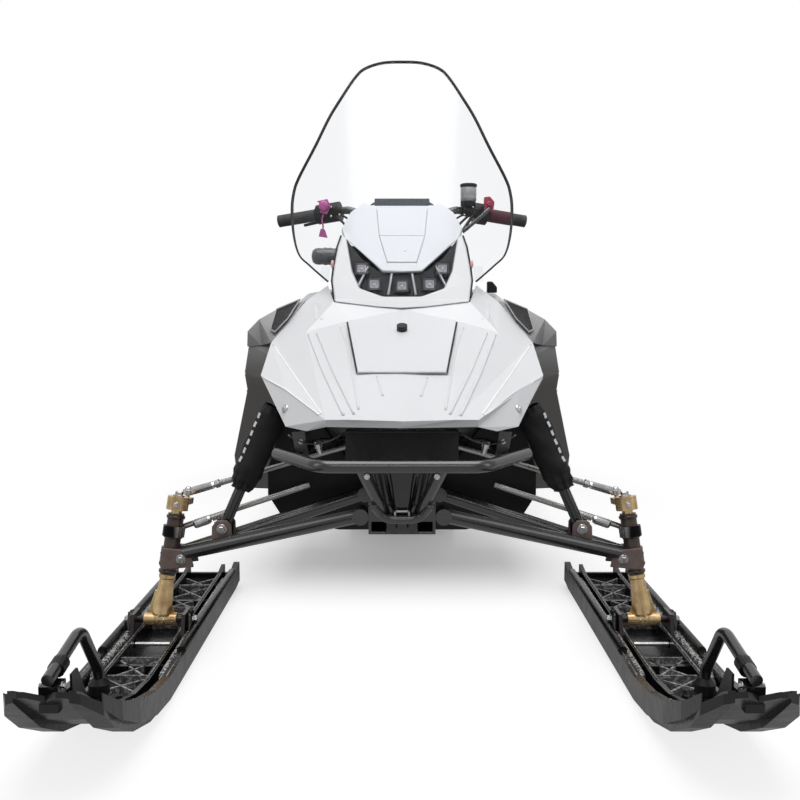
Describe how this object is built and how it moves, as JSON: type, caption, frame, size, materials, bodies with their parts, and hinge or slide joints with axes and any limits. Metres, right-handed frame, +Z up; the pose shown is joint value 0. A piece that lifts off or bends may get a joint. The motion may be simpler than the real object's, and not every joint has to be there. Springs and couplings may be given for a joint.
{
  "type": "snowmobile",
  "caption": "Snowmobile with steered skis on swing arms, a faceted hood with a hatch, tall clear windshield, long seat, tunnel and a fixed rubber track loop.",
  "frame": {"origin": "middle of the box around the vehicle at floor level, where it stands on its skis and track", "axes": "+X towards the rider's left, +Y towards the rear, +Z up"},
  "size_m": [1.264, 3.0497, 1.448],
  "materials": {
    "white_panel": "glossy painted light grey-white",
    "grey_panel": "satin mid grey",
    "black_plastic": "moulded, slightly grained",
    "ski_plastic": "glossy moulded composite",
    "black_frame": "satin black powder coat",
    "brown_frame": "dark brown painted",
    "gold_metal": "gold anodised look",
    "bright_steel": "zinc plated",
    "tunnel_metal": "bare sheet",
    "cast_block": "plain cast block",
    "track_rubber": "moulded rubber",
    "grip_rubber": "ribbed grey grip",
    "slide_plastic": "black rail with slide",
    "seat_vinyl": "stitched vinyl",
    "cover_fabric": "gathered shock cover cloth",
    "clear_shield": "clear polycarbonate",
    "clear_lens": "clear lens",
    "lamp_inside": "dark lamp body with square optics",
    "red_lens": "red tail lens",
    "flap_rubber": "flat sheet"
  },
  "bodies": {
    "chassis": {"belly_pan": "black_plastic", "bogie_wheels": "slide_plastic", "carrier_wheels": "slide_plastic", "console": "grey_panel", "cowl": "white_panel", "dash": "black_plastic", "drive_axle": "black_frame", "engine_block": "cast_block", "front_bumper": "black_frame", "front_frame": "black_frame", "grille": "black_plastic", "headlamp_lens": "clear_lens", "headlamp_unit": "lamp_inside", "hitch": "black_frame", "hood": "white_panel", "idler_wheels": "slide_plastic", "lamp_pod": "white_panel", "lower_arms": "black_frame", "radiator": "black_frame", "radius_rods": "bright_steel", "rear_bumper": "black_frame", "recoil_handle": "black_plastic", "running_boards": "tunnel_metal", "seat": "seat_vinyl", "selector_knob": "black_plastic", "shock_covers": "cover_fabric", "shocks": "bright_steel", "side_panel_left": "grey_panel", "side_panel_right": "grey_panel", "side_vents": "black_plastic", "skid_arms": "black_frame", "skid_axles": "bright_steel", "slide_rails": "slide_plastic", "snow_flap": "flap_rubber", "spindle_housings": "brown_frame", "tail_lamp": "red_lens", "track": "track_rubber", "tunnel": "tunnel_metal", "windshield": "clear_shield", "windshield_clips": "black_plastic", "windshield_trim": "black_plastic"},
    "hatch": {"hatch_lid": "white_panel", "hatch_knob": "black_plastic"},
    "handlebar": {"handlebar": "black_frame", "grips": "grip_rubber", "throttle_block": "black_plastic", "brake_unit": "black_plastic"},
    "leg_left": {"ski_leg_left": "gold_metal"},
    "tie_left": {"tie_rod_left": "bright_steel"},
    "ski_left": {"ski_left": "ski_plastic", "ski_loop_left": "black_frame", "ski_saddle_left": "bright_steel"},
    "leg_right": {"ski_leg_right": "gold_metal"},
    "tie_right": {"tie_rod_right": "bright_steel"},
    "ski_right": {"ski_right": "ski_plastic", "ski_loop_right": "black_frame", "ski_saddle_right": "bright_steel"}
  },
  "joints": [
    {"name": "handlebar_turn", "type": "hinge", "parent": "chassis", "child": "handlebar", "pos_m": [0, -0.821, 0.482], "axis": [0, 0.7527, 0.6583], "range_deg": [-30, 30]},
    {"name": "leg_left_steer", "type": "hinge", "parent": "chassis", "child": "leg_left", "pos_m": [0.54, -0.865, 0.075], "axis": [-0.1352, 0.1387, 0.9811], "range_deg": [-24, 24]},
    {"name": "tie_rod_left_swing", "type": "hinge", "parent": "leg_left", "child": "tie_left", "pos_m": [0.50214, -0.743, 0.33794], "axis": [-0.1352, 0.1387, 0.9811], "range_deg": [-24, 24]},
    {"name": "ski_left_pitch", "type": "hinge", "parent": "leg_left", "child": "ski_left", "pos_m": [0.54, -0.865, 0.075], "axis": [1, 0, 0], "range_deg": [-20, 12]},
    {"name": "leg_right_steer", "type": "hinge", "parent": "chassis", "child": "leg_right", "pos_m": [-0.54, -0.865, 0.075], "axis": [0.1352, 0.1387, 0.9811], "range_deg": [-24, 24]},
    {"name": "tie_rod_right_swing", "type": "hinge", "parent": "leg_right", "child": "tie_right", "pos_m": [-0.50214, -0.743, 0.33794], "axis": [0.1352, 0.1387, 0.9811], "range_deg": [-24, 24]},
    {"name": "ski_right_pitch", "type": "hinge", "parent": "leg_right", "child": "ski_right", "pos_m": [-0.54, -0.865, 0.075], "axis": [1, 0, 0], "range_deg": [-20, 12]},
    {"name": "hatch_open", "type": "hinge", "parent": "chassis", "child": "hatch", "pos_m": [0, -0.95072, 0.63578], "axis": [1, 0, 0], "range_deg": [0, 70]}
  ],
  "couplings": [
    {"joint": "leg_left_steer", "follows": "handlebar_turn", "ratio": 0.8},
    {"joint": "tie_rod_left_swing", "follows": "handlebar_turn", "ratio": -0.8},
    {"joint": "leg_right_steer", "follows": "handlebar_turn", "ratio": 0.8},
    {"joint": "tie_rod_right_swing", "follows": "handlebar_turn", "ratio": -0.8}
  ]
}
